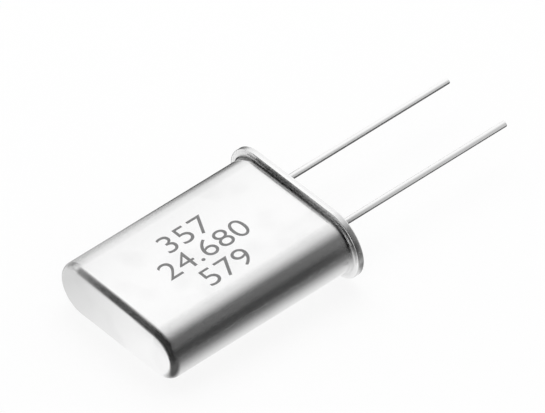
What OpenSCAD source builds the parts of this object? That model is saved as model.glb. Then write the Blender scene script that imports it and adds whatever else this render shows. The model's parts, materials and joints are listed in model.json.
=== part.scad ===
// Two-lead quartz crystal unit in a welded metal can, lying on one broad face.
// X runs across the can, Y runs along the leads and Z is up.
// The origin is the middle of the seating plane, halfway between the leads.
// Every piece is drawn upright, can above and leads below, and lie_down() turns it.

/* [Can] */
// Width of the can over its two round sides
can_w = 10.05; // [9.3:0.05:12]
// Thickness of the can between its two broad faces
can_t = 3.55; // [3.2:0.05:6]
// Height of the can from the seating plane to its closed end
can_h = 13.3; // [11.5:0.05:20]
// Thickness of the sheet that the can is drawn from
can_wall = 0.2; // [0.15:0.01:0.35]
// Outside radius where the sides turn into the closed end
end_r = 0.5; // [0.4:0.05:0.8]

/* [Weld flange] */
// How far the flange stands out from the can all the way round
flange_out = 0.475; // [0.35:0.025:0.8]
// Outside radius of the bend between the can's wall and its lip
lip_r = 0.2; // [0.1:0.01:0.25]
// Radius on the outer edges of the lip and of the base's flange
flange_edge_r = 0.06; // [0.02:0.01:0.1]

/* [Base] */
// Thickness of the base's own flange
base_flange_t = 0.2; // [0.15:0.01:0.4]
// Full thickness of the base at its raised middle
base_t = 1.2; // [0.8:0.05:1.8]
// Gap between the raised middle and the inside of the can
boss_clear = 0.1; // [0.05:0.01:0.2]
// Radius on the upper edge of the raised middle
boss_edge_r = 0.15; // [0.05:0.01:0.3]

/* [Leads and seals] */
// Distance between the middles of the two leads
lead_pitch = 4.88; // [3.8:0.02:6]
// Diameter of a lead over its tin coat
lead_d = 0.38; // [0.3:0.01:0.6]
// Thickness of the tin coat
tin_t = 0.01; // [0.005:0.005:0.02]
// Length below the glass over which the tin coat thins out from its full thickness
tin_fade = 0.6; // [0.55:0.05:1.5]
// Length of lead below the seating plane
lead_len = 13; // [4:0.1:30]
// Radius on the cut end of a lead
lead_tip_r = 0.05; // [0.02:0.01:0.1]
// Outside diameter of the glass bead round a lead
bead_d = 1.8; // [1.2:0.05:2.2]
// Depth of the glass below the metal faces of the base
bead_recess = 0.1; // [0.02:0.01:0.15]
// Radius of the glass where it climbs the lead
meniscus_r = 0.1; // [0.05:0.01:0.2]
// Diameter of the nail head on the inner end of a lead
head_d = 0.9; // [0.7:0.05:1.4]
// Thickness of the nail head
head_t = 0.2; // [0.1:0.01:0.4]
// Distance from the base to the underside of the nail head
head_rise = 0.35; // [0.2:0.01:0.8]

/* [Quartz blank] */
// Distance from the blank's edge to the inside of the can's round side
blank_side_gap = 0.825; // [0.7:0.005:1.2]
// Thickness of the blank
blank_t = 0.167; // [0.08:0.001:0.4]

/* [Electrodes] */
// Bare ring of quartz between the round electrode and the blank's edge
electrode_margin = 1.75; // [1:0.05:2.5]
// Width of the tab that runs from an electrode to the blank's edge
tab_w = 1.2; // [1.1:0.05:2]
// Thickness of the silver film
electrode_t = 0.02; // [0.01:0.005:0.04]

/* [Spring clips] */
// Width of the clip ribbon
clip_w = 1.2; // [0.8:0.05:1.8]
// Thickness of the clip ribbon
clip_t = 0.1; // [0.06:0.01:0.16]
// Depth to which the blank's edge sits in the clip
blank_bite = 0.1; // [0.1:0.01:0.15]
// Gap between the blank and each side of the clip's slot
slot_clear = 0.05; // [0.045:0.005:0.1]
// Ribbon left above the slot, and slot left past the blank's edge
clip_tail = 0.35; // [0.2:0.05:0.8]
// Height over the nail head at which the ribbon turns upright
knee_rise = 1.4; // [0.6:0.05:1.8]

/* [Cement] */
// Radius of the dot of silver cement that holds the blank in a clip
cement_r = 0.5; // [0.4:0.05:0.55]

/* [Hidden] */
$fn = 96;

// Sides of the unit, as the sign of X
LEFT = -1;
RIGHT = 1;
// Broad faces of the blank, as the sign of the direction that ends up as Z
FRONT = 1;
BACK = -1;

// Colours
NICKEL = [0.84, 0.84, 0.85];
STEEL = [0.70, 0.71, 0.72];
TINNED = [0.78, 0.78, 0.80];
GLASS = [0.33, 0.40, 0.38];
SPRING = [0.74, 0.70, 0.60];
QUARTZ = [0.90, 0.93, 0.95];
SILVER = [0.90, 0.90, 0.88];
CEMENT = [0.55, 0.55, 0.56];

// Radii of the obround outlines, and the straight length that all of them share
can_r = can_t / 2;
inner_r = can_r - can_wall;
flange_r = can_r + flange_out;
boss_r = inner_r - boss_clear;
straight = can_w - can_t;

// Heights over the seating plane
lip_top = base_flange_t + can_wall;
ceiling = can_h - can_wall;
glass_low = bead_recess;
glass_high = base_t - bead_recess;
bare_low = glass_low - meniscus_r;
head_low = base_t + head_rise;
head_top = head_low + head_t;
blank_mid = (base_t + ceiling) / 2;

// Places across the unit
lead_x = lead_pitch / 2;
wire_r = lead_d / 2 - tin_t;
blank_r = can_w / 2 - can_wall - blank_side_gap;
clip_x = blank_r - blank_bite + clip_t / 2;

// The blank meets the clip's inner face along a chord, and the slot is longer by the tail
chord = 2 * sqrt(pow(blank_r, 2) - pow(clip_x - clip_t / 2, 2));
slot_len = chord + 2 * clip_tail;

// Turns a piece from upright, with the can on top, to lying with its leads towards +Y
module lie_down() {
    rotate([90, 0, 0]) children();
}

// Carries a profile of radius against height round an obround outline
module obround_sweep() {
    for (side = [LEFT, RIGHT])
        translate([side * straight / 2, 0, 0])
            rotate([0, 0, -90 * side])
                rotate_extrude(angle = 180) children();
    rotate([90, 0, 90])
        linear_extrude(straight, center = true) {
            children();
            mirror([1, 0]) children();
        }
}

// Rectangle from the axis to radius r between two heights, with its upper outer corner rounded
module rounded_top(r, low, high, corner) {
    translate([0, low]) square([r - corner, high - low]);
    translate([0, low]) square([r, high - low - corner]);
    translate([r - corner, high - corner]) circle(corner);
}

// The same rectangle with its lower outer corner rounded
module rounded_bottom(r, low, high, corner) {
    mirror([0, 1]) rounded_top(r, -high, -low, corner);
}

// Square with a round bite out of its far corner, which fills an inside corner
module fillet(r) {
    difference() {
        square(r);
        translate([r, r]) circle(r);
    }
}

module cover_profile() {
    difference() {
        union() {
            rounded_top(can_r, base_flange_t, can_h, end_r);
            rounded_top(flange_r, base_flange_t, lip_top, flange_edge_r);
            translate([can_r, lip_top]) fillet(lip_r);
        }
        rounded_top(inner_r, 0, ceiling, end_r - can_wall);
        translate([inner_r, base_flange_t]) fillet(lip_r + can_wall);
    }
}

module cover() {
    color(NICKEL) lie_down() obround_sweep() cover_profile();
}

// Bores for the glass beads
module bead_bores() {
    for (side = [LEFT, RIGHT])
        translate([side * lead_x, 0, -base_t / 2]) cylinder(d = bead_d, h = 2 * base_t);
}

module base() {
    color(STEEL) lie_down()
        difference() {
            obround_sweep() {
                rounded_bottom(flange_r, 0, base_flange_t, flange_edge_r);
                rounded_top(boss_r, base_flange_t / 2, base_t, boss_edge_r);
            }
            bead_bores();
        }
}

module glass_bead(side) {
    color(GLASS) lie_down() translate([side * lead_x, 0, 0])
        rotate_extrude() translate([wire_r, 0]) {
            translate([0, glass_low]) square([bead_d / 2 - wire_r, glass_high - glass_low]);
            translate([0, glass_high]) fillet(meniscus_r);
            translate([0, glass_low]) mirror([0, 1]) fillet(meniscus_r);
        }
}

// Tinned wire with a rounded cut end below, bare wire in the seal and a nail head above
module lead(side) {
    color(TINNED) lie_down() translate([side * lead_x, 0, 0])
        rotate_extrude() {
            rounded_bottom(lead_d / 2, -lead_len, bare_low - tin_fade, lead_tip_r);
            translate([0, bare_low])
                polygon([[0, -tin_fade], [lead_d / 2, -tin_fade], [wire_r, 0], [0, 0]]);
            translate([0, bare_low]) square([wire_r, head_low - bare_low]);
            translate([0, head_low]) square([head_d / 2, head_t]);
        }
}

// Round-ended stroke from p to q, as thick as the clip ribbon
module stroke(p, q) {
    run = q - p;
    translate(p) circle(d = clip_t);
    translate(q) circle(d = clip_t);
    translate(p) rotate(atan2(run[1], run[0]))
        translate([0, -clip_t / 2]) square([norm(run), clip_t]);
}

// Bent ribbon on the right-hand lead: foot on the nail head, sloping arm, slotted upright
module clip_shape() {
    foot_z = head_top + clip_t / 2;
    heel = [lead_x - head_d / 2, foot_z];
    toe = [lead_x + head_d / 2, foot_z];
    knee = [clip_x, head_top + knee_rise];
    tip = [clip_x, blank_mid + slot_len / 2 + clip_tail];
    difference() {
        rotate([90, 0, 0]) linear_extrude(clip_w, center = true) {
            stroke(heel, toe);
            stroke(toe, knee);
            stroke(knee, tip);
        }
        translate([clip_x, 0, blank_mid])
            cube([3 * clip_t, blank_t + 2 * slot_clear, slot_len], center = true);
    }
}

module spring_clip(side) {
    color(SPRING) lie_down() mirror([side == LEFT ? 1 : 0, 0, 0]) clip_shape();
}

// Disc that stands on edge, parallel to the broad faces of the can
module blank_shape() {
    translate([0, 0, blank_mid]) rotate([90, 0, 0])
        cylinder(r = blank_r, h = blank_t, center = true);
}

module quartz_blank() {
    color(QUARTZ) lie_down() blank_shape();
}

// Film on one face of the blank; its tab runs to the clip on the side given
module electrode_shape(face, side) {
    film_y = face * (blank_t + electrode_t) / 2;
    translate([0, film_y, blank_mid]) rotate([90, 0, 0])
        linear_extrude(electrode_t, center = true) {
            circle(blank_r - electrode_margin);
            intersection() {
                circle(blank_r);
                translate([side * blank_r / 2, 0]) square([blank_r, tab_w], center = true);
            }
        }
}

module electrode(face, side) {
    color(SILVER) lie_down() electrode_shape(face, side);
}

// Dot of cement round the blank's edge, less what it holds
module cement(side) {
    color(CEMENT) lie_down()
        difference() {
            translate([side * clip_x, 0, blank_mid]) sphere(cement_r);
            mirror([side == LEFT ? 1 : 0, 0, 0]) clip_shape();
            blank_shape();
            electrode_shape(side == LEFT ? FRONT : BACK, side);
        }
}

cover();
base();
glass_bead(LEFT);  // glass_bead_left
glass_bead(RIGHT);  // glass_bead_right
lead(LEFT);  // lead_left
lead(RIGHT);  // lead_right
spring_clip(LEFT);  // spring_clip_left
spring_clip(RIGHT);  // spring_clip_right
quartz_blank();
electrode(FRONT, LEFT);  // electrode_front
electrode(BACK, RIGHT);  // electrode_back
cement(LEFT);  // cement_left
cement(RIGHT);  // cement_right
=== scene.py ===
# %% [markdown]
# # Dressing a quartz crystal unit
# The real object is a thin slice of quartz sealed in a drawn metal can. The can is welded to a
# stamped base, and two tinned wires come out of the base through beads of glass.
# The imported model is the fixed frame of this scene: it says where everything is. This script
# swaps the outer solids for smooth pieces with the same sizes, gives every piece a finish,
# and puts the unit on a pale table under soft light.

# %% Load the frame
import json
import math

import bmesh
import bpy
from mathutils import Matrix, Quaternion, Vector


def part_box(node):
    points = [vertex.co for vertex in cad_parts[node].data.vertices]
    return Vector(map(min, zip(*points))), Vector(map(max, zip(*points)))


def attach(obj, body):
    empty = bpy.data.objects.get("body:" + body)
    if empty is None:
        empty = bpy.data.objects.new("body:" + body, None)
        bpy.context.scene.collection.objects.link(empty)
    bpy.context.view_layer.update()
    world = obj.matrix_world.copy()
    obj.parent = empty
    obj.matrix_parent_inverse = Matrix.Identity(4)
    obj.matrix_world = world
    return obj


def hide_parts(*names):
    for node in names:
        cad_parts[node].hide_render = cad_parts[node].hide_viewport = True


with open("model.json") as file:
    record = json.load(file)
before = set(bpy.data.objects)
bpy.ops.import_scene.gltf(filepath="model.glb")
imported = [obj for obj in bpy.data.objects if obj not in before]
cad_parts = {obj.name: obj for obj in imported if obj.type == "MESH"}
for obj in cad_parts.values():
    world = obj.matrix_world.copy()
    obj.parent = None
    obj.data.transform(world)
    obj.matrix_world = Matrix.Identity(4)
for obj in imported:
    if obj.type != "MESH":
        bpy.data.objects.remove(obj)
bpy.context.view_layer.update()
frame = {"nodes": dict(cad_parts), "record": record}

print("nodes:", ", ".join(sorted(frame["nodes"])))

# %% [markdown]
# ## Sizes
# Blender works in metres and this object in tenths of a millimetre, so one value turns
# millimetres into metres. Most sizes are read from the boxes of the solids and from the mounts in
# the record. The few that no box shows, such as the thickness of the sheet, are given here once.

# %% Sizes from the frame
MM = 0.001

cover_low, cover_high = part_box("cover")
base_low, base_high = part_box("base")
lead_low, lead_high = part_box("lead_right")
bead_low, bead_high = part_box("glass_bead_right")
mounts = {mount["name"]: mount for mount in frame["record"]["mounts"]}

flange_r = cover_high.z
can_r = -mounts["broad_face_down"]["pos_m"][2]
half_straight = cover_high.x - flange_r
can_top = cover_low.y
seam_y = cover_high.y
lead_x = (lead_low.x + lead_high.x) / 2
lead_tip = lead_high.y
head_top = lead_low.y
head_r = (lead_high.x - lead_low.x) / 2
bead_r = (bead_high.x - bead_low.x) / 2
bead_inner = bead_low.y

wall = 0.2 * MM
end_r = 0.5 * MM
lip_r = 0.2 * MM
edge_r = 0.06 * MM
boss_gap = 0.1 * MM
boss_edge_r = 0.15 * MM
lead_r = mounts["lead_right_pin"]["dims"]["r_mm"] * MM
tin_t = 0.01 * MM
wire_r = lead_r - tin_t
tin_fade = 0.6 * MM
tip_r = 0.05 * MM
head_t = 0.2 * MM
recess = 0.1 * MM
lip_y = seam_y - wall
inner_r = can_r - wall

for name, value in [("can", can_r), ("flange", flange_r), ("lead", lead_r), ("bead", bead_r)]:
    print(f"radius of the {name}: {value / MM:.3f} mm")
print(f"straight between the round sides: {2 * half_straight / MM:.2f} mm")

# %% [markdown]
# ## Tools for the hand work
# Each outer piece of this unit is a section carried round a path: a circle for a wire, or the
# outline with two round ends, called an obround, for the can. So one way of working makes them
# all. One vertex is extruded from corner to corner, the corners are rounded with a vertex bevel,
# and the line is spun. The helpers below only choose things, apply a transform and start or end
# edit mode; the modelling is done by Blender's own operators.

# %% Helpers that choose
LEFT = -1
RIGHT = 1
AXIS = Vector((0, 1, 0))
MERGE = 0.0002 * MM


def choose(piece):
    """Makes one object the only one that is selected, and the active one."""
    bpy.ops.object.select_all(action="DESELECT")
    piece.select_set(True)
    bpy.context.view_layer.objects.active = piece


def apply_transform():
    """Writes the place, the turn and the size of the active object into its mesh."""
    bpy.ops.object.transform_apply(location=True, rotation=True, scale=True)


def edit():
    """Opens the active object for editing, with all of it selected."""
    bpy.ops.object.mode_set(mode="EDIT")
    bpy.ops.mesh.select_all(action="SELECT")


def leave_edit():
    bpy.ops.object.mode_set(mode="OBJECT")


def pick(test):
    """In edit mode, selects the vertices whose place passes the test."""
    bpy.ops.mesh.select_mode(type="VERT")
    bpy.ops.mesh.select_all(action="DESELECT")
    mesh = bpy.context.object.data
    shape = bmesh.from_edit_mesh(mesh)
    for vertex in shape.verts:
        vertex.select_set(test(vertex.co))
    shape.select_flush(True)
    bmesh.update_edit_mesh(mesh)


def close_to(place):
    """A test for pick(): the vertex lies at this place."""
    return lambda point: (point - place).length < 2 * MERGE


# %% [markdown]
# ## A section drawn by extruding
# A section is a list of corners. Each corner has a distance from the middle line, a place along
# the unit, and the radius of its rounding, which is nothing for a sharp corner. The line starts
# as a small plane whose four corners are merged into one vertex.

# %% Section helper
CORNER_STEPS = 10


def draw_section(name, middle_x, corners):
    """Starts a piece: a line in the upright plane through middle_x, with its corners rounded."""
    places = [Vector((middle_x, y, r)) for r, y, _ in corners]
    bpy.ops.mesh.primitive_plane_add(size=MM, location=places[0])
    piece = bpy.context.object
    piece.name = name
    piece.data.name = name
    apply_transform()
    edit()
    bpy.ops.mesh.merge(type="CENTER")
    for here, there in zip(places, places[1:]):
        bpy.ops.mesh.extrude_region_move(TRANSFORM_OT_translate={"value": there - here})
    for place, (_, _, radius) in zip(places, corners):
        if radius:
            pick(close_to(place))
            bpy.ops.mesh.bevel(offset=radius, segments=CORNER_STEPS, affect="VERTICES")
    leave_edit()
    return piece


# %% [markdown]
# ## Carrying a section round
# A wire or a bead is one full spin. The obround is two half spins with a straight run between
# them: spin half way round the right-hand centre, extrude across to the left, spin again, and
# extrude back to the start. Merging the doubles then closes the seams and the poles, and only
# after that are the normals recalculated, because a spin can turn a shape inside out.

# %% Sweep helpers
HALF_TURN_STEPS = 64
WIRE_STEPS = 48


def close_up(piece):
    """Merges what lies on the same spot and turns every face outwards."""
    bpy.ops.mesh.select_all(action="SELECT")
    bpy.ops.mesh.remove_doubles(threshold=MERGE)
    bpy.ops.mesh.normals_make_consistent(inside=False)
    leave_edit()
    print(f"{piece.name}: {len(piece.data.polygons)} faces")


def spin_round(piece, middle_x, steps):
    """Carries the whole section once round a line along Y."""
    choose(piece)
    edit()
    bpy.ops.mesh.spin(steps=steps, angle=2 * math.pi, center=(middle_x, 0, 0), axis=AXIS)
    close_up(piece)


def carry_obround(piece):
    """Carries the section round the outline with two round ends."""
    choose(piece)
    edit()
    for side in (RIGHT, LEFT):
        centre = (side * half_straight, 0, 0)
        bpy.ops.mesh.spin(steps=HALF_TURN_STEPS, angle=-math.pi, center=centre, axis=AXIS)
        across = Vector((-2 * side * half_straight, 0, 0))
        bpy.ops.mesh.extrude_region_move(TRANSFORM_OT_translate={"value": across})
    close_up(piece)


# %% [markdown]
# ## Even shading
# Mirror-like metal shows every fault in the shading. Smooth shading alone would bend the
# normals of a flat face near its rounded edge, so the Weighted Normal modifier lets the large
# faces keep their own direction. Corners sharper than a limit stay sharp.

# %% Shading helper
SHARP = math.radians(40)


def shade(piece):
    choose(piece)
    bpy.ops.object.shade_smooth_by_angle(angle=SHARP)
    bpy.ops.object.modifier_add(type="WEIGHTED_NORMAL")
    weighted = piece.modifiers[-1]
    weighted.keep_sharp = True
    bpy.ops.object.modifier_apply(modifier=weighted.name)
    return piece


# %% [markdown]
# ## The can
# On the real unit the can is deep-drawn from a disc of nickel-silver sheet: a punch pushes the
# disc through a ring, which leaves an even wall, a rounded closed end and a lip where the edge
# of the disc was held. It is a thin shell, so the section has an outer and an inner line.

# %% Draw the can
cover_section = [
    (0, can_top, 0),
    (can_r, can_top, end_r),
    (can_r, lip_y, lip_r),
    (flange_r, lip_y, edge_r),
    (flange_r, seam_y, 0),
    (inner_r, seam_y, lip_r + wall),
    (inner_r, can_top + wall, end_r - wall),
    (0, can_top + wall, 0),
]
drawn_can = draw_section("drawn_can", half_straight, cover_section)
carry_obround(drawn_can)
shade(drawn_can)
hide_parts("cover")
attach(drawn_can, "root")

# %% [markdown]
# ## The base
# The base is stamped from steel strip: a flat flange, which is welded to the lip of the can, and
# a raised middle that fits just inside the can and holds the two seals. The two holes are cut
# with a Boolean modifier, as a punch would cut them.

# %% Draw the base
base_section = [
    (0, base_high.y, 0),
    (flange_r, base_high.y, edge_r),
    (flange_r, seam_y, 0),
    (inner_r - boss_gap, seam_y, 0),
    (inner_r - boss_gap, base_low.y, boss_edge_r),
    (0, base_low.y, 0),
]
stamped_base = draw_section("stamped_base", half_straight, base_section)
carry_obround(stamped_base)


# %% Punch the two holes for the seals
def punch(piece, x):
    """Cuts a round hole along Y through the piece."""
    bpy.ops.mesh.primitive_cylinder_add(
        vertices=WIRE_STEPS,
        radius=bead_r,
        depth=4 * (base_high.y - base_low.y),
        location=(x, base_low.y / 2, 0),
        rotation=(math.pi / 2, 0, 0),
    )
    tool = bpy.context.object
    choose(piece)
    bpy.ops.object.modifier_add(type="BOOLEAN")
    hole = piece.modifiers[-1]
    hole.object = tool
    hole.operation = "DIFFERENCE"
    bpy.ops.object.modifier_apply(modifier=hole.name)
    choose(tool)
    bpy.ops.object.delete()


for side in (LEFT, RIGHT):
    punch(stamped_base, side * lead_x)
shade(stamped_base)
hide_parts("base")
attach(stamped_base, "root")
print(f"stamped_base after punching: {len(stamped_base.data.polygons)} faces")

# %% [markdown]
# ## The glass seals
# Each lead is held in a bead of glass that was melted in place. Molten glass wets metal, so its
# surface sinks in the middle and climbs a little way up the wire and up the wall of the hole.
# The section is a closed loop: it comes back to the corner that it started from. The bead is
# made once, on the right, and its copy on the left gets a mesh of its own.

# %% Copy helper


def copy_to_the_left(piece, name):
    """Copies a piece from the right-hand lead to the left-hand one."""
    choose(piece)
    bpy.ops.object.duplicate()
    bpy.ops.transform.translate(value=(-2 * lead_x, 0, 0))
    apply_transform()
    copy = bpy.context.object
    copy.name = name
    copy.data.name = name
    return copy


# %% Draw the two glass beads
climb = recess
skin = 0.002 * MM
wire_side = wire_r - skin
wall_side = bead_r + skin
glass_low = base_high.y - recess
glass_high = bead_inner + recess

bead_section = [
    (wire_side, glass_low + climb - skin, 0),
    (wire_r + climb, glass_low, climb / 2),
    (bead_r - climb / 2, glass_low, climb / 4),
    (wall_side, glass_low + climb / 2, 0),
    (wall_side, glass_high - climb / 2, 0),
    (bead_r - climb / 2, glass_high, climb / 4),
    (wire_r + climb, glass_high, climb / 2),
    (wire_side, glass_high - climb + skin, 0),
    (wire_side, glass_low + climb - skin, 0),
]
seal_right = draw_section("seal_right", lead_x, bead_section)
spin_round(seal_right, lead_x, WIRE_STEPS)
shade(seal_right)
seal_left = copy_to_the_left(seal_right, "seal_left")
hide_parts("glass_bead_left")
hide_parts("glass_bead_right")
for seal in (seal_left, seal_right):
    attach(seal, "root")

# %% [markdown]
# ## The leads
# A lead is a round wire with a nail head on its inner end, which the spring clip is welded to.
# Below the glass it is dipped in tin. The coat starts thin and reaches its full thickness a
# little below the seal, and the cut end has a small rounding.

# %% Draw the two leads
lead_section = [
    (0, lead_tip, 0),
    (lead_r, lead_tip, tip_r),
    (lead_r, tin_fade, 0),
    (wire_r, base_high.y, 0),
    (wire_r, head_top + head_t, 0),
    (head_r, head_top + head_t, 0),
    (head_r, head_top, 0),
    (0, head_top, 0),
]
wire_right = draw_section("wire_right", lead_x, lead_section)
spin_round(wire_right, lead_x, WIRE_STEPS)
shade(wire_right)
wire_left = copy_to_the_left(wire_right, "wire_left")
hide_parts("lead_left")
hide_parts("lead_right")
for wire in (wire_left, wire_right):
    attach(wire, "root")

# %% [markdown]
# ## The marking
# Such a unit is marked on one broad face with thin grey figures. Here they are plain counting
# figures in three short lines, which read along the leads. The figures come from Blender's own
# font, as a text object with a little thickness. It is turned into a mesh before it is put in its
# place, and it stands only a few thousandths of a millimetre proud of the metal.

# %% Print the figures
figure_height = 1.42 * MM
figure_width = 1.1 * MM
ink = 0.006 * MM
marking_middle = -7.05 * MM
lines = [("1", "357", -0.72 * MM), ("2", "24.680", 0.98 * MM), ("3", "579", 2.88 * MM)]
POINT_SHARE = 0.5
GAP_SHARE = 0.1
STROKE_THINNING = -0.006
CURVE_STEPS = 6


def print_line(number, figures, foot_x):
    """One line of figures: feet at foot_x, tops towards -X, read along +Y."""
    bpy.ops.object.text_add()
    text = bpy.context.object
    text.name = "marking_" + number
    text.data.body = figures
    text.data.extrude = 1
    text.data.offset = STROKE_THINNING
    text.data.resolution_u = CURVE_STEPS
    choose(text)
    bpy.ops.object.convert(target="MESH")
    line = bpy.context.object
    xs = [vertex.co.x for vertex in line.data.vertices]
    ys = [vertex.co.y for vertex in line.data.vertices]
    advance = figure_width * (len(figures) - POINT_SHARE * figures.count("."))
    gap = GAP_SHARE * figure_width
    along = (advance - gap) / (max(xs) - min(xs))
    tall = figure_height / (max(ys) - min(ys))
    line.scale = (along, tall, ink)
    line.rotation_euler = (0, 0, math.pi / 2)
    start = marking_middle - along * (max(xs) + min(xs)) / 2
    line.location = (foot_x + tall * min(ys), start, can_r)
    apply_transform()
    edit()
    close_up(line)
    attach(line, "root")
    return line


marking = [print_line(*line) for line in lines]

# %% [markdown]
# ## Building materials
# A material is a tree of nodes. One short helper puts a node in a tree with its inputs. Each input
# is a value, or a pair: another node, and which of its outputs is joined here. The helpers for
# single kinds of node give back such a pair, ready for the next node. All patterns are drawn in
# millimetres: the object coordinates, which are in metres here, are multiplied by a thousand.

# %% Node helpers
SMOOTH = {"interpolation_type": "SMOOTHSTEP"}


def put(tree, kind, inputs=None, **settings):
    """Adds a node. Each input is a value, or a pair of a node and one of its outputs."""
    made = tree.nodes.new(kind)
    for key, value in settings.items():
        setattr(made, key, value)
    for key, value in (inputs or {}).items():
        if isinstance(value, tuple) and isinstance(value[0], bpy.types.Node):
            source, output = value
            tree.links.new(source.outputs[output], made.inputs[key])
        else:
            made.inputs[key].default_value = value
    return made


def calculate(tree, operation, *terms, **settings):
    """The result of a Math node with one, two or three terms."""
    made = put(tree, "ShaderNodeMath", dict(enumerate(terms)), operation=operation, **settings)
    return (made, "Value")


def map_range(tree, value, start, end, low=0.0, high=1.0, **settings):
    """Turns a value between start and end into one between low and high."""
    inputs = {"Value": value, "From Min": start, "From Max": end, "To Min": low, "To Max": high}
    return (put(tree, "ShaderNodeMapRange", inputs, **settings), "Result")


# %% Material helpers


def empty_material(name):
    """A material whose tree has no nodes yet."""
    material = bpy.data.materials.new(name)
    material.use_nodes = True
    material.node_tree.nodes.clear()
    return material, material.node_tree


def new_material(name):
    """A material with its tree, and a node that gives the place in millimetres."""
    material, tree = empty_material(name)
    coordinates = put(tree, "ShaderNodeTexCoord")
    per_metre = (1 / MM, 1 / MM, 1 / MM)
    place = put(tree, "ShaderNodeMapping", {"Vector": (coordinates, "Object"), "Scale": per_metre})
    return material, tree, place


def blend(tree, share, first, second):
    """A mix of two colours."""
    made = put(tree, "ShaderNodeMix", {"Factor": share, "A": first, "B": second}, data_type="RGBA")
    return (made, "Result")


def bump(tree, height, depth, under=None):
    """A bump with a real depth, on top of another bump where that is given."""
    inputs = {"Strength": 1.0, "Distance": depth, "Height": height}
    if under:
        inputs["Normal"] = under
    return (put(tree, "ShaderNodeBump", inputs), "Normal")


def show_surface(tree, colour, roughness, relief, constants):
    """Ends a material with a Principled shader. relief is the last bump."""
    inputs = {"Base Color": colour, "Roughness": roughness, "Normal": relief}
    shader = put(tree, "ShaderNodeBsdfPrincipled", {**inputs, **constants})
    put(tree, "ShaderNodeOutputMaterial", {"Surface": (shader, "BSDF")})


def show_mix(tree, share, first, second):
    """Ends a material with a mix of two shaders."""
    mix = put(tree, "ShaderNodeMixShader", {0: share, 1: first, 2: second})
    put(tree, "ShaderNodeOutputMaterial", {"Surface": (mix, "Shader")})


# %% Group helpers
FLOAT = "NodeSocketFloat"
VECTOR = "NodeSocketVector"


def new_group(name, inputs):
    """A node group. inputs maps the name of each one to its kind and starting value."""
    group = bpy.data.node_groups.new(name, "ShaderNodeTree")
    for label, (kind, value) in inputs.items():
        socket = group.interface.new_socket(label, in_out="INPUT", socket_type=kind)
        socket.default_value = value
    return group, put(group, "NodeGroupInput")


def close_group(group, outputs):
    """Ends a group. outputs maps the name of each one to the pair that feeds it."""
    for label in outputs:
        group.interface.new_socket(label, in_out="OUTPUT", socket_type=FLOAT)
    put(group, "NodeGroupOutput", outputs)
    print("group:", group.name)


# %% [markdown]
# ## Grain
# Drawn or rolled metal has a grain: fine lines in the direction in which it was pulled. One group
# makes it for every metal here. It stretches a noise pattern by the number of lines
# that it has in each millimetre along X, Y and Z, and gives a height for the bump and a
# roughness that swings between two limits.

# %% Grain group
GRAIN_SWING = (0.3, 0.7)

grain_group, grain_in = new_group(
    "grain",
    {
        "Vector": (VECTOR, (0, 0, 0)),
        "Lines per mm": (VECTOR, (10, 10, 10)),
        "Low Roughness": (FLOAT, 0.2),
        "High Roughness": (FLOAT, 0.3),
    },
)
grain_stretch = put(
    grain_group,
    "ShaderNodeVectorMath",
    {0: (grain_in, "Vector"), 1: (grain_in, "Lines per mm")},
    operation="MULTIPLY",
)
grain_noise = put(
    grain_group,
    "ShaderNodeTexNoise",
    {"Vector": (grain_stretch, "Vector"), "Scale": 1.0, "Detail": 3.0, "Roughness": 0.6},
)
grain_limits = (grain_in, "Low Roughness"), (grain_in, "High Roughness")
grain_rough = map_range(grain_group, (grain_noise, "Fac"), *GRAIN_SWING, *grain_limits)
close_group(grain_group, {"Height": (grain_noise, "Fac"), "Roughness": grain_rough})


def use_grain(tree, place, lines_per_mm, rough):
    """The grain in a material. rough is its lowest and its highest roughness."""
    inputs = {
        "Vector": (place, "Vector"),
        "Lines per mm": lines_per_mm,
        "Low Roughness": rough[0],
        "High Roughness": rough[1],
    }
    return put(tree, "ShaderNodeGroup", inputs, node_tree=grain_group)


# %% [markdown]
# ## Marks of handling
# A plated can that has been through a tumbling bath and a packing tube is never quite even.
# This group gives a mask of soft blotches, a few millimetres across, that is nothing on most of
# the surface and up to one where the surface is duller.

# %% Blotch group
BLOTCH_FADE = 0.25

blotch_group, blotch_in = new_group(
    "blotches",
    {"Vector": (VECTOR, (0, 0, 0)), "Blotches per mm": (FLOAT, 0.4), "Share": (FLOAT, 0.5)},
)
blotch_noise = put(
    blotch_group,
    "ShaderNodeTexNoise",
    {"Vector": (blotch_in, "Vector"), "Scale": (blotch_in, "Blotches per mm"), "Detail": 1.0},
)
blotch_share = (blotch_in, "Share")
blotch_full = calculate(blotch_group, "ADD", blotch_share, BLOTCH_FADE)
blotch_fac = (blotch_noise, "Fac")
blotch_mask = map_range(blotch_group, blotch_fac, blotch_share, blotch_full, **SMOOTH)
close_group(blotch_group, {"Mask": blotch_mask})


def use_blotches(tree, place, per_mm, share):
    """The blotches in a material."""
    inputs = {"Vector": (place, "Vector"), "Blotches per mm": per_mm, "Share": share}
    return put(tree, "ShaderNodeGroup", inputs, node_tree=blotch_group)
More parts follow.
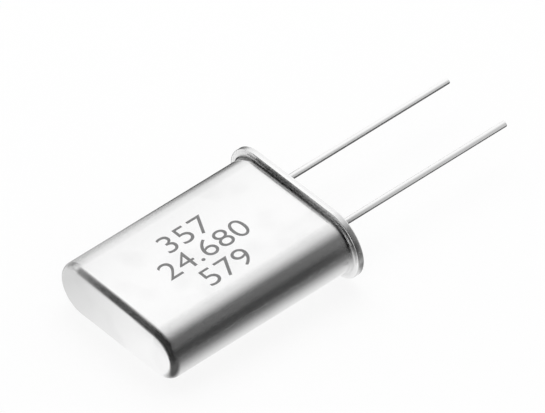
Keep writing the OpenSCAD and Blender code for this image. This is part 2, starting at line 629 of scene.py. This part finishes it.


# %% [markdown]
# ## Weld tint and painted shade at the flange
# The lip and the base are pressed together between two ring-shaped electrodes, and a short,
# strong current welds them in one go. It leaves a dull ring on both faces of the flange. The
# first mask of this group is that ring. Its dark colour is partly that weld tint and partly
# painted shade for the dark reflection in the lip. It measures how far a point lies from the
# straight line that joins the middles of the round sides, because that distance is the same all
# along an obround. The ring fades out at its left end and is faint at its right end, where the
# lip looks bright, so those fades are painted light.
# The second mask is a thin line of painted shade in the corner between the lip and the can, on
# the upper side only. At the left end it begins a little farther up the can.

# %% Weld group: how far from the middle line
weld_group, weld_in = new_group(
    "weld_tint_and_shade",
    {
        "Vector": (VECTOR, (0, 0, 0)),
        "Inner Edge": (FLOAT, can_r / MM),
        "Outer Edge": (FLOAT, flange_r / MM),
    },
)
weld_vector = (weld_in, "Vector")
weld_size = put(weld_group, "ShaderNodeVectorMath", {0: weld_vector}, operation="ABSOLUTE")
weld_split = put(weld_group, "ShaderNodeSeparateXYZ", {"Vector": (weld_size, "Vector")})
weld_past = calculate(weld_group, "SUBTRACT", (weld_split, "X"), half_straight / MM)
weld_side = calculate(weld_group, "MAXIMUM", weld_past, 0.0)
weld_across = put(weld_group, "ShaderNodeCombineXYZ", {"X": weld_side, "Z": (weld_split, "Z")})
weld_length = put(
    weld_group, "ShaderNodeVectorMath", {0: (weld_across, "Vector")}, operation="LENGTH"
)
weld_reach = (weld_length, "Value")

# %% Weld group: the ring, weld tint and painted shade
# Each row says where a share begins and where it is full, and then its least value. The mottle is
# measured by its noise, and the other rows in millimetres.
lip_mm = lip_y / MM
TINT_SHADE_FULL = 0.1
TINT_SHADE_FADES = 0.35
TINT_SHADE_HEIGHT = (1.5 * lip_mm, 1.25 * lip_mm)
# The fades at the two ends are painted light, because the lip looks bright there.
TINT_SHADE_LEFT = (-3.7, -3.1)
TINT_SHADE_RIGHT = (5.0, 3.3, 0.35)
TINT_SHADE_MOTTLE = (0.2, 0.6, 0.8)

weld_place = put(weld_group, "ShaderNodeSeparateXYZ", {"Vector": weld_vector})
weld_x = (weld_place, "X")
weld_y = (weld_place, "Y")
weld_can = (weld_in, "Inner Edge")
weld_rim = (weld_in, "Outer Edge")
tint_shade_full = calculate(weld_group, "ADD", weld_can, TINT_SHADE_FULL)
tint_shade_fades = calculate(weld_group, "SUBTRACT", weld_rim, TINT_SHADE_FADES)
weld_noise = put(
    weld_group, "ShaderNodeTexNoise", {"Vector": weld_vector, "Scale": 2.0, "Detail": 1.0}
)
tint_shade_shares = (
    map_range(weld_group, weld_reach, weld_can, tint_shade_full, **SMOOTH),
    map_range(weld_group, weld_reach, tint_shade_fades, weld_rim, 1.0, 0.0),
    map_range(weld_group, weld_y, *TINT_SHADE_HEIGHT),
    map_range(weld_group, (weld_noise, "Fac"), *TINT_SHADE_MOTTLE),
    map_range(weld_group, weld_x, *TINT_SHADE_LEFT),
    map_range(weld_group, weld_x, *TINT_SHADE_RIGHT),
)

# %% Weld group: the painted shade line in the corner
# All in millimetres. This line is painted shade. At its left end it begins sooner by the last
# value of its row for the left end.
PAINTED_SHADE_FULL = 0.06
PAINTED_SHADE_ENDS = 0.18
PAINTED_SHADE_HEIGHT = (1.52 * lip_mm, 1.38 * lip_mm)
PAINTED_SHADE_LEFT = (-3.4, -4.6, 0.0, 0.35)
PAINTED_SHADE_SIDE = (0.2, 0.65)
PAINTED_SHADE_SLANT = 0.06

painted_shade_full = calculate(weld_group, "ADD", weld_can, PAINTED_SHADE_FULL)
painted_shade_ends = calculate(weld_group, "ADD", weld_can, PAINTED_SHADE_ENDS)
painted_shade_early = map_range(weld_group, weld_x, *PAINTED_SHADE_LEFT)
painted_shade_along = calculate(weld_group, "ADD", painted_shade_early, weld_y)
painted_shade_turn = calculate(weld_group, "MULTIPLY_ADD", weld_x, -PAINTED_SHADE_SLANT, (weld_place, "Z"))
painted_shade_shares = (
    map_range(weld_group, painted_shade_along, *PAINTED_SHADE_HEIGHT),
    map_range(weld_group, weld_reach, painted_shade_full, painted_shade_ends, 1.0, 0.0),
    map_range(weld_group, painted_shade_turn, *PAINTED_SHADE_SIDE),
)


def product_of(tree, shares):
    """Multiplies several shares."""
    product = shares[0]
    for share in shares[1:]:
        product = calculate(tree, "MULTIPLY", product, share)
    return product


# Mask is the weld ring, partly painted shade; Corner is the painted shade line.
close_group(
    weld_group,
    {"Mask": product_of(weld_group, tint_shade_shares), "Corner": product_of(weld_group, painted_shade_shares)},
)

# %% [markdown]
# ## One recipe for the plated metals
# The can, the base, the wires and the clips are all bare or plated metal. They share one recipe
# and differ in their colour, in the direction and fineness of their grain and in how deep its
# bump is. Blotches dull them a little. The bump heights are real: the grain is a fraction of a
# thousandth of a millimetre deep.

# %% Metal recipe
WAVES_PER_MM = 0.25
BLOTCHES_PER_MM = 0.4
BLOTCH_SHARE = 0.5
BLOTCH_ROUGHER = 0.03
HEAT_ROUGHER = 0.01


def metal(name, bright, dull, lines_per_mm, rough, grain_depth, wave_depth, heat_tint_and_shade=None, painted_corner_shade=None):
    """A metal finish. bright and dull are colours. The last two colours are the weld ring's, partly
    weld tint and partly painted shade, and the painted shade in the corner. The depths are in metres.
    """
    material, tree, place = new_material(name)
    grain = use_grain(tree, place, lines_per_mm, rough)
    blotches = (use_blotches(tree, place, BLOTCHES_PER_MM, BLOTCH_SHARE), "Mask")
    colour = blend(tree, blotches, (*bright, 1), (*dull, 1))
    rougher = calculate(tree, "MULTIPLY", blotches, BLOTCH_ROUGHER)
    roughness = calculate(tree, "ADD", (grain, "Roughness"), rougher, use_clamp=True)
    pattern = {"Vector": (place, "Vector"), "Scale": WAVES_PER_MM, "Detail": 0.0}
    waves = put(tree, "ShaderNodeTexNoise", pattern)
    wave_bump = bump(tree, (waves, "Fac"), wave_depth)
    grain_bump = bump(tree, (grain, "Height"), grain_depth, wave_bump)
    if heat_tint_and_shade:
        colour, roughness = add_weld_tint_and_shade(tree, place, colour, roughness, heat_tint_and_shade, painted_corner_shade)
    show_surface(tree, colour, roughness, grain_bump, {"Metallic": 1.0})
    return material


def add_weld_tint_and_shade(tree, place, colour, roughness, heat_tint_and_shade, painted_corner_shade):
    """Puts the dull weld ring, partly painted shade, and the painted shade line beside it,
    over a colour and a roughness.
    """
    inputs = {"Vector": (place, "Vector"), "Inner Edge": can_r / MM, "Outer Edge": flange_r / MM}
    tint_and_shade = put(tree, "ShaderNodeGroup", inputs, node_tree=weld_group)
    # The ring darkens the colour, partly as weld tint and partly as painted shade.
    over = blend(tree, (tint_and_shade, "Mask"), colour, (*heat_tint_and_shade, 1))
    rougher = calculate(tree, "MULTIPLY", (tint_and_shade, "Mask"), HEAT_ROUGHER)
    total = calculate(tree, "ADD", roughness, rougher, use_clamp=True)
    # The corner line is painted shade.
    if painted_corner_shade:
        over = blend(tree, (tint_and_shade, "Corner"), over, (*painted_corner_shade, 1))
    return over, total


def grey(level):
    return (level, level, level)


# %% Mix the metals
satin_nickel = metal(
    "satin_nickel",
    bright=grey(0.98),
    dull=grey(0.94),
    lines_per_mm=(9, 0.5, 9),
    rough=(0.17, 0.23),
    grain_depth=0.0002 * MM,
    wave_depth=0.006 * MM,
    # The ring colour is partly weld tint and partly painted shade.
    heat_tint_and_shade=grey(0.6),
    # The corner colour is painted shade.
    painted_corner_shade=grey(0.18),
)
plated_steel = metal(
    "plated_steel",
    bright=grey(0.93),
    dull=grey(0.82),
    lines_per_mm=(5, 5, 5),
    rough=(0.17, 0.23),
    grain_depth=0.0005 * MM,
    wave_depth=0.003 * MM,
    # The ring colour is partly weld tint and partly painted shade.
    heat_tint_and_shade=grey(0.6),
)
hot_dip_tin = metal(
    "hot_dip_tin",
    bright=grey(0.97),
    dull=grey(0.93),
    lines_per_mm=(8, 0.7, 8),
    rough=(0.17, 0.24),
    grain_depth=0.0005 * MM,
    wave_depth=0.004 * MM,
)
spring_strip = metal(
    "spring_strip",
    bright=(0.82, 0.78, 0.68),
    dull=(0.7, 0.65, 0.55),
    lines_per_mm=(1, 12, 1),
    rough=(0.22, 0.34),
    grain_depth=0.0004 * MM,
    wave_depth=0.001 * MM,
)
silver_film = metal(
    "silver_film",
    bright=(0.95, 0.94, 0.91),
    dull=(0.84, 0.8, 0.7),
    lines_per_mm=(20, 20, 20),
    rough=(0.25, 0.4),
    grain_depth=0.0002 * MM,
    wave_depth=0.0,
)
metals = (satin_nickel, plated_steel, hot_dip_tin, spring_strip, silver_film)
print("metals:", *[finish.name for finish in metals])

# %% [markdown]
# ## Glass, quartz, cement and ink
# The seals are dark grey-green glass with tiny bubbles. The blank is clear quartz, lapped to a
# fine matt surface. The cement is a resin full of silver flakes. The ink is a flat grey whose
# coverage varies a little.

# %% Glass and quartz
CLOUD_SHARE = 0.45
GLASS_RELIEF = 0.0005 * MM


def glass(name, clear, cloudy, per_mm, rough, transmission, index):
    """A glassy finish: two colours in a cloud pattern, and a faint bump."""
    material, tree, place = new_material(name)
    cloud = use_blotches(tree, place, per_mm, CLOUD_SHARE)
    texture = use_grain(tree, place, (per_mm * 4,) * 3, rough)
    colour = blend(tree, (cloud, "Mask"), (*clear, 1), (*cloudy, 1))
    relief = bump(tree, (texture, "Height"), GLASS_RELIEF)
    constants = {"Metallic": 0.0, "IOR": index, "Transmission Weight": transmission}
    show_surface(tree, colour, (texture, "Roughness"), relief, constants)
    return material


seal_glass = glass("seal_glass", (0.12, 0.16, 0.14), (0.17, 0.215, 0.19), 4, (0.04, 0.12), 0.2, 1.52)
lapped_quartz = glass("lapped_quartz", (0.93, 0.96, 0.97), (0.8, 0.84, 0.86), 1.5, (0.25, 0.4), 0.9, 1.54)

# %% Cement and ink
SPECKLE_RELIEF = 0.002 * MM


def matt(name, pale, dark, per_mm, rough, metallic=0.0):
    """A matt finish: two colours in a speckle, with a roughness that follows it."""
    material, tree, place = new_material(name)
    speckle = use_grain(tree, place, (per_mm,) * 3, rough)
    colour = blend(tree, (speckle, "Height"), (*pale, 1), (*dark, 1))
    relief = bump(tree, (speckle, "Height"), SPECKLE_RELIEF)
    show_surface(tree, colour, (speckle, "Roughness"), relief, {"Metallic": metallic})
    return material


silver_cement = matt("silver_cement", grey(0.55), grey(0.3), 18, (0.45, 0.65), metallic=0.6)
grey_ink = matt("grey_ink", grey(0.16), grey(0.24), 9, (0.55, 0.75))
print("others:", seal_glass.name, lapped_quartz.name, silver_cement.name, grey_ink.name)

# %% [markdown]
# ## Giving out the finishes
# A piece made here has no material yet, so its finish is added to it. The sealed pieces inside
# the can keep their solids from the frame, and only the material that they have is changed.

# %% Assign the materials


def dress(piece, material):
    if piece.material_slots:
        for held in piece.material_slots:
            held.material = material
    else:
        piece.data.materials.append(material)


dress(drawn_can, satin_nickel)
dress(stamped_base, plated_steel)
for seal in (seal_left, seal_right):
    dress(seal, seal_glass)
for wire in (wire_left, wire_right):
    dress(wire, hot_dip_tin)
for line in marking:
    dress(line, grey_ink)

inside = {
    "spring_clip_left": spring_strip,
    "spring_clip_right": spring_strip,
    "quartz_blank": lapped_quartz,
    "electrode_front": silver_film,
    "electrode_back": silver_film,
    "cement_left": silver_cement,
    "cement_right": silver_cement,
}
for node_name, material in inside.items():
    dress(frame["nodes"][node_name], material)
print("sealed pieces that got a finish:", len(inside))

# %% [markdown]
# ## The table
# The unit rests on the rim of its flange and on the edge of its closed end, because the flange
# stands prouder than the can. The model keeps the broad face level, so here the table is tilted by
# that small angle and touches both. For the eye, for gloss and for glass most of the
# table's white is its own light; the rest is the plain white surface that takes the shadow.

# %% Make the table
TABLE_SIZE = 0.8
flange_edge_y = lip_y + edge_r
end_edge_y = can_top + end_r
table_tilt = math.atan2(flange_r - can_r, flange_edge_y - end_edge_y)


def table_height(y):
    """Height of the table under a place along the unit."""
    return -flange_r + (flange_edge_y - y) * math.tan(table_tilt)


bpy.ops.mesh.primitive_plane_add(
    size=TABLE_SIZE, location=(0, 0, table_height(0)), rotation=(-table_tilt, 0, 0)
)
table = bpy.context.object
table.name = "table"
apply_transform()
print(f"the table is tilted by {math.degrees(table_tilt):.2f} degrees")


# %% White that keeps a shadow
WHITE = (1, 1, 1, 1)
GLOW_SHARE = 0.85


def seen_or_mirrored(tree):
    """One for a ray from the camera, from gloss or through glass, and nothing for the others."""
    path = put(tree, "ShaderNodeLightPath")
    either = calculate(tree, "MAXIMUM", (path, "Is Camera Ray"), (path, "Is Glossy Ray"))
    return calculate(tree, "MAXIMUM", either, (path, "Is Transmission Ray"))


table_material, table_tree = empty_material("white_table")
table_share = calculate(table_tree, "MULTIPLY", seen_or_mirrored(table_tree), GLOW_SHARE)
table_surface = put(table_tree, "ShaderNodeBsdfDiffuse", {"Color": (0.9, 0.9, 0.9, 1)})
table_glow = put(table_tree, "ShaderNodeEmission", {"Color": WHITE, "Strength": 1.0})
show_mix(table_tree, table_share, (table_surface, "BSDF"), (table_glow, "Emission"))
table_material.cycles.emission_sampling = "NONE"
table.data.materials.append(table_material)

# %% [markdown]
# ## The white surroundings
# The world is plain white wherever the camera, gloss or glass looks at it. For the light that it
# sheds it is weaker, and the lamps give the rest, so that a colour shows about as it is written.

# %% Make the world
SHED_STRENGTH = 0.7

world = bpy.data.worlds.new("white_studio")
bpy.context.scene.world = world
world.use_nodes = True
world_tree = world.node_tree
world_tree.nodes.clear()
world_seen = seen_or_mirrored(world_tree)
world_strength = map_range(world_tree, world_seen, 0.0, 1.0, SHED_STRENGTH)
world_light = put(world_tree, "ShaderNodeBackground", {"Color": WHITE, "Strength": world_strength})
put(world_tree, "ShaderNodeOutputWorld", {"Surface": (world_light, "Background")})
world.cycles.sampling_method = "NONE"
print("world:", world.name)

# %% [markdown]
# ## Lamps
# Two broad lamps give soft shadows: a large one overhead and a weaker one from the side of the
# camera. They are left out of the reflections, which are shaped by the cards below.

# %% Hang the lamps


def hang_lamp(name, place, size, power):
    """A square lamp at a place in millimetres, which points at the unit."""
    bpy.ops.object.light_add(type="AREA", location=Vector(place) * MM)
    lamp = bpy.context.object
    lamp.name = name
    lamp.data.size = size * MM
    lamp.data.energy = power
    lamp.rotation_mode = "QUATERNION"
    lamp.rotation_quaternion = Vector(place).to_track_quat("Z", "Y")
    lamp.visible_glossy = False
    lamp.visible_camera = False
    print("lamp:", name)


hang_lamp("overhead_lamp", (-60, 40, 160), size=150, power=0.13)
hang_lamp("camera_side_lamp", (160, -120, 140), size=160, power=0.07)

# %% [markdown]
# ## Graded cards
# Bright metal has hardly a look of its own: it shows its surroundings. In a studio, dark cards
# stand beside such a part, just out of view, so that its round sides and edges are drawn as dark
# lines. The main cards here are tubes, each round one rounded edge of the can, with the darkness
# graded by the angle round that edge. Only gloss sees the cards, and they take no light away. A
# card is clear for what lies farther off than the edge that it is for, so the can stays bright
# from other sides too.

# %% Card materials
CARD_DARK = (0.02, 0.02, 0.02, 1)
FAR = 30
CARD_SPAN = FAR * MM
REACH = 15 * MM
REACH_FADE = 2 * MM


def in_mm(*stops):
    """Stops of a grade along X or Y, whose places are written in millimetres."""
    return [(place * MM, darkness) for place, darkness in stops]


def graded(tree, quantity, low, high, stops):
    """Darkness that follows a quantity. stops are pairs of the quantity and the darkness."""
    share = map_range(tree, quantity, low, high)
    ramp = put(tree, "ShaderNodeValToRGB", {"Fac": share})
    points = ramp.color_ramp.elements
    for number, (place, darkness) in enumerate(stops):
        position = (place - low) / (high - low)
        point = points[number] if number < 2 else points.new(position)
        point.position = position
        point.color = (*grey(darkness), 1)
    return (ramp, "Color")


def new_card_material(name):
    """An empty material, with the place that a card's grades are measured from."""
    material, tree = empty_material(name)
    coordinates = put(tree, "ShaderNodeTexCoord")
    place = put(tree, "ShaderNodeSeparateXYZ", {"Vector": (coordinates, "Object")})
    return material, tree, place


def darken(tree, first, second, reach=REACH):
    """Ends a card's material: as dark as the product of two grades, and clear beyond its reach."""
    path = put(tree, "ShaderNodeLightPath")
    near = map_range(tree, (path, "Ray Length"), reach + REACH_FADE, reach)
    grades = calculate(tree, "MULTIPLY", first, second)
    darkness = calculate(tree, "MULTIPLY", grades, near)
    dark = put(tree, "ShaderNodeBsdfDiffuse", {"Color": CARD_DARK})
    clear = put(tree, "ShaderNodeBsdfTransparent")
    show_mix(tree, darkness, (clear, "BSDF"), (dark, "BSDF"))


def round_an_edge(name, centre, along, by_angle, by_place, reach=REACH):
    """A grade by the angle round an edge that runs along X or Y, times a grade along it.

    The angle is nothing level with the edge, on the side of +X or of -Y, and grows upwards.
    """
    material, tree, place = new_card_material(name)
    across = "Y" if along == "X" else "X"
    sign = -1.0 if along == "X" else 1.0
    middle = -sign * centre["XYZ".index(across)]
    out = calculate(tree, "MULTIPLY_ADD", (place, across), sign, middle)
    up = calculate(tree, "SUBTRACT", (place, "Z"), centre[2])
    degrees = calculate(tree, "DEGREES", calculate(tree, "ARCTAN2", up, out))
    round_grade = graded(tree, degrees, -180, 180, by_angle)
    long_grade = graded(tree, (place, along), -CARD_SPAN, CARD_SPAN, by_place)
    darken(tree, round_grade, long_grade, reach)
    return material


def on_the_table(name, by_x, by_y, slant=0.0):
    """A grade along X times a grade along Y. The slant moves the first along X, by a share of Y."""
    material, tree, place = new_card_material(name)
    across = calculate(tree, "MULTIPLY_ADD", (place, "Y"), -slant, (place, "X"))
    x_grade = graded(tree, across, -CARD_SPAN, CARD_SPAN, by_x)
    y_grade = graded(tree, (place, "Y"), -CARD_SPAN, CARD_SPAN, by_y)
    darken(tree, x_grade, y_grade)
    return material


# %% Card shapes
CARD_R = 12 * MM
INNER_CARD_R = 11 * MM
CARD_STEPS = 96
FACING_THE_FLANGE = -math.pi / 2


def stand_card(card, name, material):
    """Names a card, gives it its material and hides it from everything but gloss."""
    card.name = name
    card.data.materials.append(material)
    for rays in ("camera", "diffuse", "transmission", "volume_scatter", "shadow"):
        setattr(card, "visible_" + rays, False)
    print("card:", name)


def tube_card(name, centre, along, low, high, material, radius=CARD_R):
    """A tube of card round an edge along X or Y, cut off at the table."""
    middle = list(centre)
    middle["XYZ".index(along)] = (low + high) / 2
    bpy.ops.mesh.primitive_cylinder_add(
        vertices=CARD_STEPS,
        radius=radius,
        depth=high - low,
        end_fill_type="NOTHING",
        location=middle,
        rotation=(0, math.pi / 2, 0) if along == "X" else (math.pi / 2, 0, 0),
    )
    card = bpy.context.object
    apply_transform()
    edit()
    bpy.ops.mesh.bisect(
        plane_co=(0, 0, table_height(0)),
        plane_no=(0, math.sin(table_tilt), math.cos(table_tilt)),
        clear_inner=True,
    )
    leave_edit()
    stand_card(card, name, material)


def plane_card(name, middle, turn, width, height, material):
    """A plane of card with its middle at a place, turned about X."""
    bpy.ops.mesh.primitive_plane_add(size=1, location=middle, rotation=(turn, 0, 0))
    card = bpy.context.object
    card.scale = (width, height, 1)
    apply_transform()
    stand_card(card, name, material)


def flat_card(name, low, high, lift, material):
    """A card that lies just over the table between two places (x, y)."""
    x = (low[0] + high[0]) / 2
    y = (low[1] + high[1]) / 2
    middle = (x, y, table_height(y) + lift)
    plane_card(name, middle, -table_tilt, high[0] - low[0], high[1] - low[1], material)


# %% [markdown]
# ## The card on the right
# It draws the broad dark band along the round side. The band is darkest a little below
# the shoulder, runs out softly on the broad face and fades to the white of the table below.
# The tube comes in two lengths. The one beside the leads reaches farther, because the left-hand
# lead lies farther off than the side of the can.

# %% Stand the right card
LIFT = 0.02 * MM
CARD_END = 28 * MM
RIGHT_REACH = 17 * MM
FAR_REACH = 22 * MM
FAR_START = 3.5 * MM

right_axis = (half_straight, 0, 0)
right_angles = [
    (-90, 0.0), (-64, 0.06), (-42, 0.32), (-31, 0.57), (-19, 0.84), (-5, 0.95), (14, 0.97),
    (32, 0.9), (56, 0.88), (72, 0.6), (88, 0.31), (106, 0.19), (120, 0.07), (128, 0.0),
]
right_places = in_mm((-FAR, 1.0), (5, 1.0), (6.5, 0.7), (9, 0.5), (FAR, 0.5))
right_grades = (right_axis, "Y", right_angles, right_places)
right_grade = round_an_edge("right_grade", *right_grades, RIGHT_REACH)
far_grade = round_an_edge("far_grade", *right_grades, FAR_REACH)
tube_card("right_card", right_axis, "Y", -CARD_END, FAR_START, right_grade)
tube_card("far_right_card", right_axis, "Y", FAR_START, CARD_END, far_grade)
flat_card("right_table_card", (half_straight, -13 * MM), (15 * MM, CARD_END), LIFT, far_grade)

# %% [markdown]
# ## The card on the left
# The left side only shows as a narrow strip. It is pale near the closed end and darker towards
# the flange, so a card on the table and a second tube inside the first grow darker along the unit.

# %% Stand the left card
LEFT_END = 20 * MM

left_axis = (-half_straight, 0, 0)
left_angles = [
    (-180, 0.62), (-170, 0.65), (-168, 0.9), (-162, 1.0), (-130, 1.0), (-112, 0.6), (-100, 0.0),
    (112, 0.0), (120, 0.05), (124, 0.14), (131, 0.3), (141, 0.43), (152, 0.54), (158, 0.7),
    (163, 0.75), (172, 0.65), (180, 0.62),
]
left_places = in_mm(
    (-FAR, 0.6), (-17, 0.7), (-14, 1.0), (-8.4, 1.0), (-7.3, 0.4), (1.5, 0.4), (3.6, 0.33),
    (8, 0.1), (FAR, 0.0),
)
left_table_places = in_mm(
    (-FAR, 0.5), (-6.8, 0.6), (-4.8, 0.78), (-2.8, 0.92), (-1, 1.0), (5, 1.0), (7, 0.0)
)
left_grade = round_an_edge("left_grade", left_axis, "Y", left_angles, left_places)
floor_grade = round_an_edge("floor_grade", left_axis, "Y", left_angles, left_table_places)
tube_card("left_card", left_axis, "Y", -CARD_END, LEFT_END, left_grade)
flat_card("left_table_card", (-15 * MM, -13 * MM), (-half_straight, LEFT_END), LIFT, floor_grade)

# %% Stand the second tube on the left
DEEP_START = -9
DEEP_END = 8

deep_angles = [
    (-180, 0.68), (-167, 0.75), (-160, 0.93), (-140, 0.95), (-125, 0.0), (158, 0.0), (164, 0.2),
    (172, 0.6), (180, 0.68),
]
deep_places = in_mm(
    (DEEP_START, 0.0), (-7.6, 0.38), (-4.4, 0.38), (-2.4, 0.5), (-0.4, 0.7), (1.6, 0.85),
    (3.6, 1.0), (5.5, 1.0), (DEEP_END, 0.0),
)
deep_grade = round_an_edge("deep_grade", left_axis, "Y", deep_angles, deep_places)
deep_ends = (DEEP_START * MM, DEEP_END * MM)
tube_card("deep_card", left_axis, "Y", *deep_ends, deep_grade, INNER_CARD_R)

# %% [markdown]
# ## The cards in front
# A card in front of the closed end draws the dark line along its rounded edge. A second tube, a
# little lower down, and two cards that lie on the table carry the line on round the right-hand
# corner. A pale grade on the table shades the end face from left to right.

# %% Stand the two front tubes
FRONT_END = 20 * MM
TURN_START = -8.5

front_axis = (0, can_top + end_r, can_r - end_r)
front_angles = [
    (-60, 0.0), (-30, 0.2), (-18, 0.4), (-8, 0.62), (2, 0.86), (12, 0.99), (63, 0.99), (76, 0.88),
    (86, 0.6), (96, 0.15), (102, 0.0),
]
front_places = in_mm(
    (-FAR, 0.58), (-12.6, 0.6), (-11.5, 0.7), (-10.8, 0.88), (-9.8, 1.0), (-7.5, 1.0), (-5, 0.0)
)
front_grade = round_an_edge("front_grade", front_axis, "X", front_angles, front_places)
tube_card("front_card", front_axis, "X", -CARD_END, FRONT_END, front_grade)

turn_angles = [
    (-60, 0.0), (-50, 0.3), (-28, 0.88), (-18, 0.96), (-8, 0.98), (47, 0.98), (60, 0.88),
    (71, 0.6), (81, 0.15), (88, 0.0),
]
turn_places = in_mm((TURN_START, 0.0), (-7, 1.0), (FAR, 1.0))
turn_grade = round_an_edge("turn_grade", front_axis, "X", turn_angles, turn_places)
tube_card("turn_card", front_axis, "X", TURN_START * MM, FRONT_END, turn_grade, INNER_CARD_R)

# %% Lay the front cards on the table
EVENLY = in_mm((-FAR, 1.0), (FAR, 1.0))
CORNER_SLANT = 0.24
RUN_SLANT = 0.8

end_shades = in_mm((-FAR, 0.36), (-6, 0.33), (-2, 0.13), (1, 0.0))
end_grade = on_the_table("end_grade", end_shades, EVENLY)
flat_card("end_table_card", (-15 * MM, -25 * MM), (4 * MM, -13.2 * MM), LIFT, end_grade)

corner_across = in_mm((6.8, 0.0), (7.6, 0.96))
corner_along = in_mm((-13.2, 0.96), (-12.5, 0.0))
corner_grade = on_the_table("corner_grade", corner_across, corner_along, CORNER_SLANT)
flat_card("corner_card", (0, -26 * MM), (16 * MM, -12.5 * MM), 3 * LIFT, corner_grade)

run_across = in_mm((11.5, 0.0), (12.4, 0.4), (13.1, 1.0))
run_along = in_mm((-24, 0.96), (-20.2, 0.92), (-17.7, 0.8), (-16.3, 0.6), (-15.5, 0.3), (-15, 0.0))
run_grade = on_the_table("run_grade", run_across, run_along, RUN_SLANT)
flat_card("run_card", (-9 * MM, -26 * MM), (16 * MM, -15 * MM), 5 * LIFT, run_grade)

# %% [markdown]
# ## The card over the flange
# The lip of the can is dark in its corner although the broad face beside it is white. The lip
# looks back along the can, so a card that stands across it, a little way from the flange, draws
# that. The broad face looks the other way and would see the card's back, which is left clear.
# The card is also clear for what lies close beside its foot. Without that, its foot would draw a
# line across the broad face in a view from above.

# %% Stand the card over the flange
LIP_CARD_MIDDLE = -9 * MM
LIP_CARD_FOOT = -3 * MM
LIP_CARD_W = 32 * MM
LIP_CARD_H = 8 * MM
LIP_CARD_CLEAR = 0.6 * MM
LIP_CARD_DARK = 2.4 * MM
LIP_SLANT = 0.75

lip_grade, lip_tree, lip_place = new_card_material("lip_grade")
lip_along = calculate(lip_tree, "MULTIPLY_ADD", (lip_place, "Z"), LIP_SLANT, (lip_place, "X"))
lip_shades = in_mm((-4.4, 0.0), (-3.4, 0.86), (0, 0.9), (2, 0.74), (3.5, 0.6))
lip_across = graded(lip_tree, lip_along, -CARD_SPAN, CARD_SPAN, lip_shades)
lip_side = put(lip_tree, "ShaderNodeNewGeometry")
lip_front = calculate(lip_tree, "SUBTRACT", 1.0, (lip_side, "Backfacing"))
lip_path = put(lip_tree, "ShaderNodeLightPath")
lip_beyond = map_range(lip_tree, (lip_path, "Ray Length"), LIP_CARD_CLEAR, LIP_CARD_DARK)
lip_share = calculate(lip_tree, "MULTIPLY", lip_front, lip_beyond)
darken(lip_tree, lip_across, lip_share)
lip_middle = (LIP_CARD_MIDDLE, LIP_CARD_FOOT, can_r + LIP_CARD_H / 2)
plane_card("lip_card", lip_middle, FACING_THE_FLANGE, LIP_CARD_W, LIP_CARD_H, lip_grade)

# %% [markdown]
# The left end of the lip is bright. Left to itself it would mirror the dark cards beside the can,
# so a small white card stands in between. Its back is clear too, for the can's own side.

# %% Stand the white card
WHITE_CARD_MIDDLE = (-7.6 * MM, -1.5 * MM, 0)
WHITE_CARD_W = 8.8 * MM
WHITE_CARD_H = 4.2 * MM

white_grade, white_tree = empty_material("white_card")
white_side = put(white_tree, "ShaderNodeNewGeometry")
white_face = put(white_tree, "ShaderNodeBsdfDiffuse", {"Color": WHITE})
white_back = put(white_tree, "ShaderNodeBsdfTransparent")
show_mix(white_tree, (white_side, "Backfacing"), (white_face, "BSDF"), (white_back, "BSDF"))
white_card = (WHITE_CARD_MIDDLE, FACING_THE_FLANGE, WHITE_CARD_W, WHITE_CARD_H)
plane_card("white_lip_card", *white_card, white_grade)

# %% [markdown]
# ## The card under the leads
# The leads are pale on top and have a thin dark line along their lower side. That line is the
# reflection of a card that lies under them.

# %% Lay the card under the leads
lead_across = in_mm((-5, 0.0), (-4, 0.95), (6.6, 0.95), (7.4, 0.0))
lead_along = in_mm((0.35, 0.0), (0.6, 0.55), (1.2, 0.7), (2, 0.95))
lead_grade = on_the_table("lead_grade", lead_across, lead_along)
flat_card("lead_card", (-5 * MM, 0.3 * MM), (10 * MM, 20 * MM), 3 * LIFT, lead_grade)

# %% [markdown]
# ## The camera
# A very long lens far away keeps parallel edges parallel, as a macro lens at a distance does. The
# camera looks down over the closed end and the right-hand side. It is rolled by a few
# degrees, and its aim is a place inside the can.

# %% Set up the camera
AZIMUTH = math.radians(52.31)
ELEVATION = math.radians(42.88)
ROLL = math.radians(3.83)
DISTANCE = 0.7779
LENS = 924.9
aim = Vector((-1.057, -1.077, 0.290)) * MM

bpy.ops.object.camera_add()
camera = bpy.context.object
camera.name = "camera"
camera.data.lens = LENS
camera.data.sensor_width = 36
camera.data.clip_start = 0.1
camera.data.clip_end = 5
back = Vector(
    (
        math.sin(AZIMUTH) * math.cos(ELEVATION),
        -math.cos(AZIMUTH) * math.cos(ELEVATION),
        math.sin(ELEVATION),
    )
)
camera.location = aim + back * DISTANCE
camera.rotation_mode = "QUATERNION"
level = (-back).to_track_quat("-Z", "Y")
camera.rotation_quaternion = level @ Quaternion((0, 0, 1), -ROLL)
bpy.context.scene.camera = camera
bpy.context.scene.view_settings.view_transform = "Standard"
print(f"a lens of {LENS:.0f} mm, {DISTANCE:.2f} m away")
